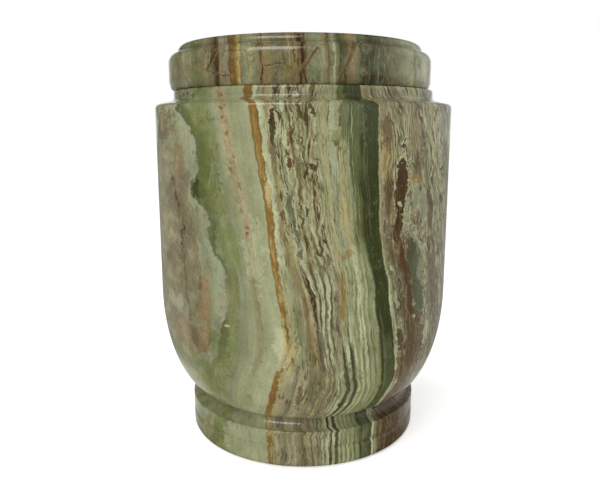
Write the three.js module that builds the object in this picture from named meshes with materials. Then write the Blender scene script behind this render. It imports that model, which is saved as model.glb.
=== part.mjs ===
// A cremation urn turned from banded onyx: a hollow vessel with a beaded foot, a round bowl, a straight
// wall and a short neck, closed by a loose stepped lid whose spigot drops into the mouth.
// Millimetres, +Z up. The origin is the centre of the underside, which the urn stands on.
import * as THREE from "three";

// The vessel, seen from outside
const wallRadius = 90;
const wallHeight = 109.5;
const footSetback = 17.5;
const footEdge = 4;
const lowerBeadHeight = 9.5;
const grooveHeight = 5;
const grooveDepth = 0.9;
const upperBeadHeight = 8;
const ridgeEdge = 0.8;
const coveHeight = 5.5;
const coveDepth = 6.9;
const bowlRise = 64.6;
const bowlStart = THREE.MathUtils.degToRad(10);
const shoulderWidth = 11.2;
const shoulderEdge = 2.7;
const shoulderSlope = THREE.MathUtils.degToRad(12);
const neckFillet = 2.5;
const neckHeight = 4.2;
const rimEdge = 1.5;

// The hollow inside it
const wallThickness = 10;
const neckThickness = 8;
const mouthEdge = 1;
const mouthDepth = 17;
const cavityShoulder = 9;
const floorThickness = 22;
const floorRadius = 36;

// The lid
const lidOverhang = 0.4;
const lidTuck = 2.4;
const lidTuckHeight = 6;
const lidBandHeight = 9.5;
const lidShoulderWidth = 5.2;
const lidShoulderHeight = 5.5;
const stepWidth = 0.5;
const tierHeight = 4.9;
const tierEdge = 3.8;
const spigotDepth = 8;
const spigotEdge = 1.5;
const spigotClearance = 2.5;
// The share of its play by which the loose lid sits off centre, towards -X
const lidPlayTaken = 0.8;

const roundSegments = 48;
const rightAngle = Math.PI / 2;

// Radii and heights that follow from the sizes above
const footRadius = wallRadius - footSetback;
const ridgeHeight = lowerBeadHeight + grooveHeight + upperBeadHeight;
const creaseRadius = footRadius - coveDepth;
const creaseHeight = ridgeHeight + coveHeight;
const bowlTop = creaseHeight + bowlRise;
const wallTop = bowlTop + wallHeight;
const neckRadius = wallRadius - shoulderWidth;
const cavityRadius = wallRadius - wallThickness;
const mouthRadius = neckRadius - neckThickness;
const lidRadius = neckRadius + lidOverhang;
const spigotRadius = mouthRadius - spigotClearance;

// The neck's fillet touches both the sloping shoulder and the upright neck.
const shoulderOuter = new THREE.Vector2(
  wallRadius - shoulderEdge + shoulderEdge * Math.sin(shoulderSlope),
  wallTop + shoulderEdge * Math.cos(shoulderSlope),
);
const shoulderInnerRadius = neckRadius + neckFillet * (1 - Math.sin(shoulderSlope));
const shoulderInnerHeight =
  shoulderOuter.y + (shoulderOuter.x - shoulderInnerRadius) * Math.tan(shoulderSlope);
const filletTop = shoulderInnerHeight + neckFillet * Math.cos(shoulderSlope);
const seatHeight = filletTop + neckHeight;

// Points along an elliptical arc about (radius, height), from one angle to another, both ends included.
function arc(radius, height, reach, rise, from, to, steps) {
  return Array.from({ length: steps + 1 }, (_, i) => {
    const angle = from + ((to - from) * i) / steps;
    return new THREE.Vector2(radius + reach * Math.cos(angle), height + rise * Math.sin(angle));
  });
}

const point = (radius, height) => new THREE.Vector2(radius, height);

// The beaded foot, from the underside's centre up to the crease under the bowl.
function footOutline() {
  const groove = Array.from({ length: 7 }, (_, i) => {
    const share = i / 6;
    const depth = (grooveDepth * (1 - Math.cos(2 * Math.PI * share))) / 2;
    return point(footRadius - depth, lowerBeadHeight + grooveHeight * share);
  });
  const coveReach = coveDepth - ridgeEdge;
  return [
    point(0, 0),
    ...arc(footRadius - footEdge, footEdge, footEdge, footEdge, -rightAngle, 0, 4),
    ...groove,
    ...arc(footRadius - ridgeEdge, ridgeHeight - ridgeEdge, ridgeEdge, ridgeEdge, 0, rightAngle, 2),
    ...arc(footRadius - ridgeEdge, creaseHeight, coveReach, coveHeight, -rightAngle, -2 * rightAngle, 5).slice(1),
  ];
}

// The bowl: part of an ellipse that leaves the crease at a low angle and runs up into the wall.
function bowlOutline() {
  const reach = (wallRadius - creaseRadius) / (1 - Math.sin(bowlStart));
  const rise = bowlRise / Math.cos(bowlStart);
  return arc(wallRadius - reach, bowlTop, reach, rise, bowlStart - rightAngle, 0, 14).slice(1);
}

// The rounded shoulder, the fillet, the neck and the rim that the lid rests on.
function shoulderOutline() {
  const edgeRadius = wallRadius - shoulderEdge;
  return [
    ...arc(edgeRadius, wallTop, shoulderEdge, shoulderEdge, 0, rightAngle - shoulderSlope, 3),
    ...arc(neckRadius + neckFillet, filletTop, neckFillet, neckFillet,
      3 * rightAngle - shoulderSlope, 2 * rightAngle, 4),
    ...arc(neckRadius - rimEdge, seatHeight - rimEdge, rimEdge, rimEdge, 0, rightAngle, 3),
  ];
}

// The hollow, from the rim down to the middle of its floor.
function cavityOutline() {
  const rimInner = mouthRadius + mouthEdge;
  const shoulderTop = seatHeight - mouthDepth;
  return [
    ...arc(rimInner, seatHeight - mouthEdge, mouthEdge, mouthEdge, rightAngle, 2 * rightAngle, 2),
    ...arc(mouthRadius, shoulderTop - cavityShoulder, cavityRadius - mouthRadius, cavityShoulder,
      rightAngle, 0, 5),
    ...arc(floorRadius, bowlTop, cavityRadius - floorRadius, bowlTop - floorThickness, 0, -rightAngle, 11),
    point(0, floorThickness),
  ];
}

// The lid, from the spigot's underside up to the middle of its flat top. Height 0 is the seat.
function lidOutline() {
  const bandTop = lidTuckHeight + lidBandHeight;
  const shoulderTop = bandTop + lidShoulderHeight;
  const tierRadius = lidRadius - lidShoulderWidth - stepWidth;
  const lidTop = shoulderTop + tierHeight;
  return [
    point(0, -spigotDepth),
    point(spigotRadius - spigotEdge, -spigotDepth),
    point(spigotRadius, spigotEdge - spigotDepth),
    point(spigotRadius, 0),
    ...arc(lidRadius - lidTuck, lidTuckHeight, lidTuck, lidTuckHeight, -rightAngle, 0, 4),
    ...arc(lidRadius - lidShoulderWidth, bandTop, lidShoulderWidth, lidShoulderHeight, 0, rightAngle, 5),
    point(tierRadius, shoulderTop),
    ...arc(tierRadius - tierEdge, lidTop - tierEdge, tierEdge, tierEdge, 0, rightAngle, 4),
    point(0, lidTop),
  ];
}

// Turns an outline of radii and heights about +Z.
function turn(name, outline, material) {
  const geometry = new THREE.LatheGeometry(outline, roundSegments);
  geometry.rotateX(rightAngle);
  const mesh = new THREE.Mesh(geometry, material);
  mesh.name = name;
  return mesh;
}

const vesselStone = new THREE.MeshStandardMaterial({ color: 0x8c8a64, roughness: 0.18, metalness: 0 });
const lidStone = new THREE.MeshStandardMaterial({ color: 0x84795a, roughness: 0.18, metalness: 0 });

const urn = new THREE.Group();
urn.add(turn(
  "urn_body",
  [...footOutline(), ...bowlOutline(), ...shoulderOutline(), ...cavityOutline()],
  vesselStone,
));

const lid = turn("lid", lidOutline(), lidStone);
lid.position.set(-lidPlayTaken * spigotClearance, 0, seatHeight);
urn.add(lid);

export default urn;
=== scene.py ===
"""A cremation urn turned from banded onyx: a vessel and its loose stepped lid, on a pale floor."""
import math

import bpy
from bpy.props import FloatProperty, FloatVectorProperty, IntProperty, PointerProperty
from bpy.types import Operator, Panel, PropertyGroup
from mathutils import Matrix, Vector


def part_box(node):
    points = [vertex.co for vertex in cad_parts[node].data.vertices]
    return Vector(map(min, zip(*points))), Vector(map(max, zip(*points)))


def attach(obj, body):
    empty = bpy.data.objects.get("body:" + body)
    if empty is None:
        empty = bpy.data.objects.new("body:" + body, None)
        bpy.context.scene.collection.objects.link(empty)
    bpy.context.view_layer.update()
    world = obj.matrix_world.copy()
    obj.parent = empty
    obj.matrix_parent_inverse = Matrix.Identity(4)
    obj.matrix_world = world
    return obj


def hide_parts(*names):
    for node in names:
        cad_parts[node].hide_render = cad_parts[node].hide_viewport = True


bl_info = {
    "name": "Banded Onyx Urn",
    "version": (1, 0, 0),
    "blender": (4, 5, 0),
    "location": "View3D > Sidebar > Urn",
    "description": "Turns an onyx urn and its lid and sets them in a plain studio",
    "category": "Add Mesh",
}

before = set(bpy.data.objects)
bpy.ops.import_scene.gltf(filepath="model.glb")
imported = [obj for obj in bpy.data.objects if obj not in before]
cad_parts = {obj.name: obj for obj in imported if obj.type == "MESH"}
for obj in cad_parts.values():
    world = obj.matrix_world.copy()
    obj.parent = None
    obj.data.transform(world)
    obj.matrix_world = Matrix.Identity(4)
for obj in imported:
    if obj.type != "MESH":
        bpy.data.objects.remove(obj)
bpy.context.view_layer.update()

MM = 0.001
QUARTER = math.pi / 2

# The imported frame's own sizes, in metres
body_low, body_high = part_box("urn_body")
lid_low, lid_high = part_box("lid")
WALL_RADIUS = (body_high.x - body_low.x) / 2
SEAT_HEIGHT = body_high.z
LID_RADIUS = (lid_high.x - lid_low.x) / 2
LID_OFFSET = (lid_high.x + lid_low.x) / 2
SPIGOT_DEPTH = SEAT_HEIGHT - lid_low.z
LID_HEIGHT = lid_high.z - SEAT_HEIGHT


def millimetres(name, description, default):
    """A length property whose default is given in millimetres."""
    return FloatProperty(name=name, description=description, default=default * MM, min=0.0, precision=4,
                         subtype="DISTANCE", unit="LENGTH")


def linear(code):
    """The linear colour of a six-digit screen colour code."""
    shares = [int(code[i:i + 2], 16) / 255 for i in (0, 2, 4)]
    return tuple(c / 12.92 if c <= 0.04045 else ((c + 0.055) / 1.055) ** 2.4 for c in shares)


def stone_colour(name, description, code):
    """A colour property whose default is a screen colour code."""
    return FloatVectorProperty(name=name, description=description, default=linear(code), size=3, min=0.0,
                               max=1.0, subtype="COLOR")


# Properties

class VesselSizes(PropertyGroup):
    """The turned outline of the vessel, outside and inside."""
    foot_setback: millimetres("Foot setback", "How far the foot stands in from the wall", 17.5)
    foot_edge: millimetres("Foot edge", "Rounding where the foot meets its underside", 4.0)
    lower_bead: millimetres("Lower bead", "Height of the foot's lower bead", 9.5)
    groove_height: millimetres("Groove height", "Height of the groove between the beads", 5.0)
    groove_depth: millimetres("Groove depth", "Depth of the groove between the beads", 0.9)
    upper_bead: millimetres("Upper bead", "Height of the foot's upper bead", 8.0)
    ridge_edge: millimetres("Ridge edge", "Rounding on top of the upper bead", 0.8)
    cove_height: millimetres("Cove height", "Height of the cove above the foot", 5.5)
    cove_depth: millimetres("Cove depth", "How far the cove cuts in from the foot", 6.9)
    bowl_rise: millimetres("Bowl rise", "Height of the round bowl under the wall", 64.6)
    bowl_start: FloatProperty(name="Bowl start", description="Angle at which the bowl leaves the crease",
                              default=math.radians(10), subtype="ANGLE")
    wall_height: millimetres("Wall height", "Height of the straight wall", 109.5)
    shoulder_width: millimetres("Shoulder width", "How far the neck stands in from the wall", 11.2)
    shoulder_edge: millimetres("Shoulder edge", "Rounding of the shoulder's rim", 2.7)
    shoulder_slope: FloatProperty(name="Shoulder slope", description="Rise of the shoulder towards the neck",
                                  default=math.radians(12), subtype="ANGLE")
    neck_fillet: millimetres("Neck fillet", "Hollow rounding between shoulder and neck", 2.5)
    rim_edge: millimetres("Rim edge", "Rounding of the rim's outer edge", 1.5)
    wall_thickness: millimetres("Wall thickness", "Stone left between wall and hollow", 10.0)
    neck_thickness: millimetres("Neck thickness", "Stone left between neck and mouth", 8.0)
    mouth_edge: millimetres("Mouth edge", "Rounding of the rim's inner edge", 1.0)
    mouth_depth: millimetres("Mouth depth", "Depth of the straight mouth", 17.0)
    cavity_shoulder: millimetres("Cavity shoulder", "Height of the hollow's rounded shoulder", 9.0)
    floor_thickness: millimetres("Floor thickness", "Stone left under the hollow", 22.0)
    floor_radius: millimetres("Floor radius", "Radius of the hollow's flat floor", 36.0)
    sides: IntProperty(name="Sides", description="Facets around the vessel", default=320, min=32, max=512)
    wander: FloatProperty(name="Wander", description="How far the turned wall wanders from true, as a share",
                          default=0.0009, min=0.0, max=0.01)


class LidSizes(PropertyGroup):
    """The turned outline of the lid."""
    tuck: millimetres("Tuck", "How far the lid's underside is rounded in", 2.4)
    tuck_height: millimetres("Tuck height", "Height of the rounding under the lid", 6.0)
    band_height: millimetres("Band height", "Height of the lid's straight side", 9.5)
    shoulder_width: millimetres("Shoulder width", "Width of the lid's rounded shoulder", 5.2)
    shoulder_height: millimetres("Shoulder height", "Height of the lid's rounded shoulder", 5.5)
    step_width: millimetres("Step width", "Width of the ledge under the top tier", 0.5)
    tier_edge: millimetres("Tier edge", "Rounding of the top tier", 3.8)
    spigot_edge: millimetres("Spigot edge", "Bevel of the spigot's lower edge", 1.5)
    spigot_clearance: millimetres("Spigot clearance", "Play between spigot and mouth", 2.5)
    sides: IntProperty(name="Sides", description="Facets around the lid", default=320, min=32, max=512)
    wander: FloatProperty(name="Wander", description="How far the turned lid wanders from true, as a share",
                          default=0.0007, min=0.0, max=0.01)


class StoneColours(PropertyGroup):
    """The colours of the onyx's layers."""
    cream: stone_colour("Cream", "Palest calcite", "B4B690")
    pale_sage: stone_colour("Pale sage", "Pale green calcite", "979A77")
    mist: stone_colour("Mist", "Cool cloudy green", "8F967A")
    sage: stone_colour("Sage", "Grey-green calcite", "8B8E6A")
    grey_sage: stone_colour("Grey sage", "Cloudy grey-green", "7C7F62")
    straw: stone_colour("Straw", "Yellowish calcite", "9E976B")
    olive: stone_colour("Olive", "Clear olive green", "747A4C")
    deep_olive: stone_colour("Deep olive", "Deeper olive green", "5F6539")
    moss: stone_colour("Moss", "Mid green", "50573A")
    dark_moss: stone_colour("Dark moss", "Darkest green", "363B1E")
    taupe: stone_colour("Taupe", "Brown-grey", "7D7657")
    beige: stone_colour("Beige", "Warm pale brown", "998F6E")
    grey_beige: stone_colour("Grey beige", "Cool pale brown", "837C64")
    tan: stone_colour("Tan", "Light brown", "85744C")
    pink_tan: stone_colour("Pink tan", "Pinkish brown", "94805E")
    salmon: stone_colour("Salmon", "Orange pink", "967A54")
    pale_amber: stone_colour("Pale amber", "Pale amber", "B4A268")
    amber: stone_colour("Amber", "Amber", "8D6F33")
    dark_amber: stone_colour("Dark amber", "Dark amber", "745728")
    rust: stone_colour("Rust", "Dark red-brown", "542E1C")
    umber: stone_colour("Umber", "Dark brown", "44301A")
    maroon: stone_colour("Maroon", "Darkest red-brown", "301A0E")
    mauve: stone_colour("Mauve", "Purplish grey-brown", "6C5F4C")
    khaki: stone_colour("Khaki", "Dull brownish green", "6F694A")
    brown: stone_colour("Brown", "Middle brown", "5F4B32")


class StudioLook(PropertyGroup):
    """The floor, the light and the camera."""
    floor_colour: stone_colour("Floor", "Colour of the floor", "F2F2F0")
    room_light: FloatProperty(name="Room light", description="Light from all round", default=0.4, min=0.0)
    key_power: FloatProperty(name="Key light", description="Power of the large soft light", default=6.5,
                             min=0.0, unit="POWER")
    camera_distance: millimetres("Camera distance", "From the urn's axis to the lens", 396.0)
    camera_height: millimetres("Camera height", "Height of the lens over the floor", 194.0)
    camera_side: FloatProperty(name="Camera side", description="Place of the lens along X", default=-1.9 * MM,
                               subtype="DISTANCE", unit="LENGTH")
    camera_pitch: FloatProperty(name="Camera pitch", description="How far the camera looks down",
                                default=0.188, subtype="ANGLE")
    lens: FloatProperty(name="Lens", description="Focal length in millimetres", default=37.27, min=1.0)


# Outlines: pairs of radius and height, from the middle of the underside up and round

def arc(radius, height, reach, rise, start, end, steps):
    """Points on an elliptical arc about (radius, height), both ends included."""
    turn = [start + (end - start) * i / steps for i in range(steps + 1)]
    return [(radius + reach * math.cos(a), height + rise * math.sin(a)) for a in turn]


def straight(first, last, steps, ease=0.0):
    """Points between two ends, both left out. Ease adds one close to each end, to keep a flat face flat."""
    shares = [i / steps for i in range(1, steps)]
    if ease:
        shares = [ease, *shares, 1 - ease]
    return [tuple(a + (b - a) * s for a, b in zip(first, last)) for s in shares]


def joined(*parts):
    """Runs of points in one line, with the (steps, ease) of a straight face between each two of them."""
    points = [*parts[0]]
    for (steps, ease), run in zip(parts[1::2], parts[2::2]):
        points += [*straight(points[-1], run[0], steps, ease), *run]
    return points


def foot_outline(v):
    """The beaded foot, from the middle of the underside to the crease under the bowl."""
    foot = WALL_RADIUS - v.foot_setback
    ridge = v.lower_bead + v.groove_height + v.upper_bead
    steps = 14
    groove = []
    for i in range(steps + 1):
        depth = v.groove_depth * (1 - math.cos(math.tau * i / steps)) / 2
        groove.append((foot - depth, v.lower_bead + v.groove_height * i / steps))
    edge = arc(foot - v.foot_edge, v.foot_edge, v.foot_edge, v.foot_edge, -QUARTER, 0, 10)
    bead = arc(foot - v.ridge_edge, ridge - v.ridge_edge, v.ridge_edge, v.ridge_edge, 0, QUARTER, 6)
    cove = arc(foot - v.ridge_edge, ridge + v.cove_height, v.cove_depth - v.ridge_edge, v.cove_height,
               -QUARTER, -2 * QUARTER, 14)
    return joined([(0.0, 0.0)], (4, 0.01), edge, (3, 0.06), groove, (3, 0.06), bead) + cove[1:]


def bowl_outline(v):
    """Part of an ellipse, from the crease to the foot of the straight wall."""
    crease = WALL_RADIUS - v.foot_setback - v.cove_depth
    top = v.lower_bead + v.groove_height + v.upper_bead + v.cove_height + v.bowl_rise
    reach = (WALL_RADIUS - crease) / (1 - math.sin(v.bowl_start))
    rise = v.bowl_rise / math.cos(v.bowl_start)
    return arc(WALL_RADIUS - reach, top, reach, rise, v.bowl_start - QUARTER, 0, 56)[1:]


def shoulder_outline(v, bowl_top):
    """The straight wall, the rounded shoulder, the fillet, the neck and the rim."""
    wall_top = bowl_top + v.wall_height
    neck = WALL_RADIUS - v.shoulder_width
    edge = arc(WALL_RADIUS - v.shoulder_edge, wall_top, v.shoulder_edge, v.shoulder_edge, 0,
               QUARTER - v.shoulder_slope, 10)
    fillet_start = neck + v.neck_fillet * (1 - math.sin(v.shoulder_slope))
    fillet_low = edge[-1][1] + (edge[-1][0] - fillet_start) * math.tan(v.shoulder_slope)
    fillet_top = fillet_low + v.neck_fillet * math.cos(v.shoulder_slope)
    fillet = arc(neck + v.neck_fillet, fillet_top, v.neck_fillet, v.neck_fillet,
                 3 * QUARTER - v.shoulder_slope, 2 * QUARTER, 8)
    rim = arc(neck - v.rim_edge, SEAT_HEIGHT - v.rim_edge, v.rim_edge, v.rim_edge, 0, QUARTER, 8)
    return joined([(WALL_RADIUS, bowl_top)], (28, 0.004), edge, (3, 0.08), fillet, (2, 0.1), rim)[1:]


def hollow_outline(v, bowl_top):
    """The hollow, from the rim's inner edge down to the middle of its floor."""
    neck = WALL_RADIUS - v.shoulder_width
    mouth = neck - v.neck_thickness
    hollow = WALL_RADIUS - v.wall_thickness
    shoulder = SEAT_HEIGHT - v.mouth_depth
    lip = arc(mouth + v.mouth_edge, SEAT_HEIGHT - v.mouth_edge, v.mouth_edge, v.mouth_edge, QUARTER,
              2 * QUARTER, 5)
    rim_end = (neck - v.rim_edge, SEAT_HEIGHT)
    upper = arc(mouth, shoulder - v.cavity_shoulder, hollow - mouth, v.cavity_shoulder, QUARTER, 0, 8)
    lower = arc(v.floor_radius, bowl_top, hollow - v.floor_radius, bowl_top - v.floor_thickness,
                0, -QUARTER, 24)
    middle = [(0.0, v.floor_thickness)]
    return joined([rim_end], (2, 0.08), lip, (3, 0.05), upper, (4, 0.02), lower, (3, 0.02), middle)[1:]


def vessel_outside(v):
    """The outside of the vessel, from the middle of its underside to the rim."""
    lower = foot_outline(v) + bowl_outline(v)
    return lower + shoulder_outline(v, lower[-1][1])


def vessel_outline(v):
    """The vessel's whole outline, from the middle of its underside to the middle of its hollow's floor."""
    bowl_top = bowl_outline(v)[-1][1]
    return vessel_outside(v) + hollow_outline(v, bowl_top)


def lid_outline(v, lid):
    """The lid's outline, from the middle of the spigot's underside to the middle of its flat top."""
    mouth = WALL_RADIUS - v.shoulder_width - v.neck_thickness
    spigot = mouth - lid.spigot_clearance
    bottom = -SPIGOT_DEPTH
    band_top = lid.tuck_height + lid.band_height
    shoulder_top = band_top + lid.shoulder_height
    tier = LID_RADIUS - lid.shoulder_width - lid.step_width
    under = arc(LID_RADIUS - lid.tuck, lid.tuck_height, lid.tuck, lid.tuck_height, -QUARTER, 0, 14)
    over = arc(LID_RADIUS - lid.shoulder_width, band_top, lid.shoulder_width, lid.shoulder_height,
               0, QUARTER, 14)
    edge = arc(tier - lid.tier_edge, LID_HEIGHT - lid.tier_edge, lid.tier_edge, lid.tier_edge, 0, QUARTER, 12)
    side = [(spigot - lid.spigot_edge, bottom), (spigot, bottom + lid.spigot_edge), (spigot, 0.0)]
    ledge = [*over, (tier, shoulder_top)]
    points = joined([(0.0, bottom)], (3, 0.02), side, (2, 0.05), under, (4, 0.05), ledge, (2, 0.2), edge,
                    (8, 0.004), [(0.0, LID_HEIGHT)])
    return [(r, SEAT_HEIGHT + z) for r, z in points]


def radius_at(outline, height):
    """The radius of an outline that climbs, at a height."""
    for (r0, z0), (r1, z1) in zip(outline, outline[1:]):
        if z0 <= height <= z1 and z1 > z0:
            return r0 + (r1 - r0) * (height - z0) / (z1 - z0)
    return outline[-1][0]


# Nodes as arithmetic

class Wire:
    """A node's output, which adds Math nodes to its tree when it is used in arithmetic."""

    def __init__(self, bench, socket):
        self.bench = bench
        self.socket = socket

    def __add__(self, other):
        return self.bench.maths("ADD", self, other)

    def __sub__(self, other):
        return self.bench.maths("SUBTRACT", self, other)

    def __rsub__(self, other):
        return self.bench.maths("SUBTRACT", other, self)

    def __mul__(self, other):
        return self.bench.maths("MULTIPLY", self, other)

    def __truediv__(self, other):
        return self.bench.maths("DIVIDE", self, other)

    def __pow__(self, other):
        return self.bench.maths("POWER", self, other)

    def __abs__(self):
        return self.bench.maths("ABSOLUTE", self)

    def least(self, other):
        return self.bench.maths("MINIMUM", self, other)

    def most(self, other):
        return self.bench.maths("MAXIMUM", self, other)

    def over(self, other):
        return self.bench.maths("GREATER_THAN", self, other)

    __radd__ = __add__
    __rmul__ = __mul__


def emptied(owner):
    """The node tree of a material or a world, with nothing in it yet."""
    owner.use_nodes = True
    owner.node_tree.nodes.clear()
    return owner.node_tree


class Bench:
    """Adds nodes to a tree."""

    def __init__(self, tree):
        self.tree = tree

    def add(self, kind, settings=None, values=None, output=0):
        """Adds a node, makes its settings, then fills or links its sockets. Gives one of its outputs."""
        node = self.tree.nodes.new(kind)
        for name, setting in (settings or {}).items():
            if name == "stops":
                self.set_stops(node.color_ramp, setting)
            elif name == "course":
                self.set_course(node.mapping, setting)
            else:
                setattr(node, name, setting)
        for name, value in (values or {}).items():
            if isinstance(value, Wire):
                self.tree.links.new(value.socket, node.inputs[name])
            else:
                node.inputs[name].default_value = value
        return Wire(self, node.outputs[output]) if node.outputs else None

    @staticmethod
    def set_stops(ramp, stops):
        """Fills a colour ramp with (share, colour) stops."""
        ramp.elements[0].position = stops[0][0]
        ramp.elements[1].position = stops[-1][0]
        for share, _ in stops[1:-1]:
            ramp.elements.new(share)
        for element, (_, colour) in zip(ramp.elements, stops):
            element.color = colour

    @staticmethod
    def set_course(mapping, points):
        """Bends a float curve through points whose shares run from 0 to 1."""
        curve = mapping.curves[0]
        curve.points[0].location = points[0]
        curve.points[1].location = points[-1]
        for point in points[1:-1]:
            curve.points.new(*point)
        for point in curve.points:
            point.handle_type = "AUTO_CLAMPED"
        mapping.update()

    def maths(self, operation, *values):
        return self.add("ShaderNodeMath", {"operation": operation}, dict(enumerate(values)))

    def vector(self, x, y, z):
        return self.add("ShaderNodeCombineXYZ", None, {0: x, 1: y, 2: z})

    def noise(self, x, y, z, detail=2.0, roughness=0.5):
        """Smooth noise from 0 to 1, about 0.5, one wave to each unit of the three measures."""
        settings = {"noise_dimensions": "3D", "noise_type": "FBM", "normalize": True}
        values = {"Vector": self.vector(x, y, z), "Scale": 1.0, "Detail": detail, "Roughness": roughness}
        return self.add("ShaderNodeTexNoise", settings, values)

    def sway(self, noise, reach):
        """A noise as a shift of up to about the reach, either way."""
        return (noise - 0.5) * (2.5 * reach)

    def step(self, value, start, end, top=1.0, kind="SMOOTHSTEP"):
        """0 before start and top past end, or the other way round where end is the lower."""
        return self.add("ShaderNodeMapRange", {"interpolation_type": kind, "clamp": True},
                        {"Value": value, "From Min": start, "From Max": end, "To Max": top})

    def mix(self, share, first, second):
        """One colour laid over another."""
        return self.add("ShaderNodeMix", {"data_type": "RGBA", "clamp_factor": True},
                        {0: share, 6: first, 7: second}, 2)

    def shade(self, colour, factor):
        """A colour made lighter or darker."""
        return self.add("ShaderNodeVectorMath", {"operation": "SCALE"}, {0: colour, "Scale": factor})

    def product(self, first, second, extra):
        """Two numbers multiplied, and a third one added."""
        return self.maths("MULTIPLY_ADD", first, second, extra)

    def band(self, value, low, high, soft):
        """1 between two values and 0 outside, with soft ends."""
        return self.step(value, low - soft, low + soft) * self.step(value, high + soft, high - soft)


class StoneBench(Bench):
    """A stone's tree, with its measures in millimetres and the colour laid so far."""

    def __init__(self, name, palette):
        self.material = bpy.data.materials.new(name)
        super().__init__(emptied(self.material))
        self.tint = palette
        self.colour = None
        place = self.add("ShaderNodeTexCoord", output="Object")
        scaled = self.add("ShaderNodeVectorMath", {"operation": "SCALE"}, {0: place, "Scale": 1 / MM})
        self.x, self.y, self.z = (self.add("ShaderNodeSeparateXYZ", None, {0: scaled}, i) for i in range(3))
        self.along = self.y

    def lay(self, share, name):
        """Lays one of the stone's colours over the colour so far."""
        self.colour = self.mix(share, self.colour, self.tint[name])

    def lumps(self, wide, tall, detail=2.0, roughness=0.5, seed=0.0):
        """Noise in lumps of a width and a height."""
        x = self.x / wide + seed if seed else self.x / wide
        return self.noise(x, self.y / wide, self.z / tall, detail, roughness)

    def streaks(self, measure, length, tall, detail=2.0, roughness=0.5):
        """Noise drawn out along the layers, with one wave to each unit of a measure across them."""
        return self.noise(measure, self.along / length, self.z / tall, detail, roughness)

    def blots(self, wide, tall, start, end, seed=0.0):
        """Ragged blots, which fade in as the noise goes from start to end."""
        return self.step(self.lumps(wide, tall, 4.0, 0.62, seed), start, end)

    def layers(self, position, stops):
        """Colours laid along a measure, as (place, colour name) stops. A long list takes several ramps."""
        longest = 30
        parts = [stops[i:i + longest + 1] for i in range(0, len(stops) - 1, longest)]
        colour = None
        for part in parts:
            low, high = part[0][0], part[-1][0]
            shares = [((place - low) / (high - low), self.tint[name]) for place, name in part]
            ramp = self.add("ShaderNodeValToRGB", {"stops": shares}, {0: (position - low) / (high - low)})
            colour = ramp if colour is None else self.mix(position.over(low), colour, ramp)
        return colour

    def polish(self, cloud, cracks):
        """Ends the tree: a polished surface in the colour laid, duller and open along its cracks."""
        crack_depth = 0.12 * MM
        surface = self.add("ShaderNodeBsdfPrincipled", None, {
            "Base Color": self.colour,
            "Roughness": (cloud - 0.5) * 0.12 + cracks * 0.2 + 0.16,
            "IOR": 1.5,
            "Normal": self.add("ShaderNodeBump", None, {
                "Strength": 0.35, "Distance": crack_depth, "Height": 1.0 - cracks}),
        })
        self.add("ShaderNodeOutputMaterial", None, {"Surface": surface})


# The vessel's stone. Its layers run up through the block, aslant to the front, and the courses that the
# main veins take over the front are given as heights in millimetres and angles in degrees from the front.

# Slant of the layers and their bend towards the back, and how far and in how many steps a course is drawn
LAYER_SLANT = 0.7
BACK_BEND = 0.0065
COURSE_REACH = 130.0
COURSE_STEPS = 84
BLOCK_HEIGHT = SEAT_HEIGHT / MM

COURSES = (
    (-107.0, ((213, -56), (203, -54), (190, -50), (182, -47), (170, -44), (150, -42), (140, -40), (125, -38),
              (108, -37.5), (100, -35), (88, -33.5), (75, -35), (65, -39), (50, -47), (28, -54), (5, -54))),
    (-103.9, ((213, -52), (203, -48), (192, -41), (185, -38), (170, -37), (165, -41), (157, -41), (150, -36),
              (142, -32.5), (128, -31), (118, -26.5), (105, -26), (85, -29), (70, -32), (60, -36), (45, -41),
              (28, -46), (5, -47))),
    (-90.6, ((213, -36), (206, -34), (203, -28.5), (185, -26), (160, -22.5), (140, -18.7), (120, -17.5),
             (105, -15.7), (85, -14), (75, -14.5), (65, -17), (53, -21), (40, -24), (28, -30), (20, -28),
             (5, -27))),
    (-78.7, ((213, -21.5), (206, -20.5), (203, -15.8), (175, -13.5), (155, -11), (130, -10), (110, -8),
             (90, -6.2), (80, -5.3), (72, -6.5), (65, -8.5), (45, -12.5), (35, -15.5), (28, -19), (20, -15.5),
             (5, -15))),
    (-69.3, ((213, -10), (206, -9.5), (203, -7.8), (180, -7), (160, -5), (140, -3.2), (126, -0.5), (118, 0.3),
             (107, 3), (90, 4.4), (70, 7), (60, 8), (50, 7.5), (40, 5), (28, 1), (5, 2))),
    (-55.4, ((213, 4), (206, 3), (203, 1.5), (180, 2), (165, 3.8), (145, 5), (130, 7), (112, 9.5), (90, 9.7),
             (70, 11), (52, 14), (40, 12), (28, 8), (20, 9), (5, 9))),
    (-28.0, ((213, 15), (206, 15.5), (203, 18.5), (160, 19.5), (140, 21), (120, 23.5), (110, 25), (100, 25.2),
             (80, 27.5), (60, 30.5), (50, 31.5), (40, 31), (28, 28), (20, 27), (5, 27))),
    (-18.4, ((213, 21.3), (206, 21.8), (203, 24.3), (160, 25.2), (140, 25.5), (120, 28.2), (110, 30),
             (100, 30.3), (80, 33), (60, 36.3), (52, 37.5), (45, 36), (38, 35), (28, 35), (20, 33.5),
             (5, 33.5))),
    (-4.0, ((213, 26), (203, 28.5), (182, 31.5), (165, 33), (140, 32.8), (125, 35.5), (105, 38.5), (88, 42),
            (70, 44), (50, 46), (28, 44), (5, 43))),
    (32.1, ((213, 38), (203, 41.5), (182, 45), (165, 48), (150, 52), (130, 52.5), (115, 56), (95, 59),
            (70, 62), (28, 62), (5, 60))),
)

CRACK = ((60, -47), (82, -44), (88, -44.5), (100, -46), (120, -47), (135, -48), (138, -46), (145, -49),
         (152, -50), (163, -53))

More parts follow.
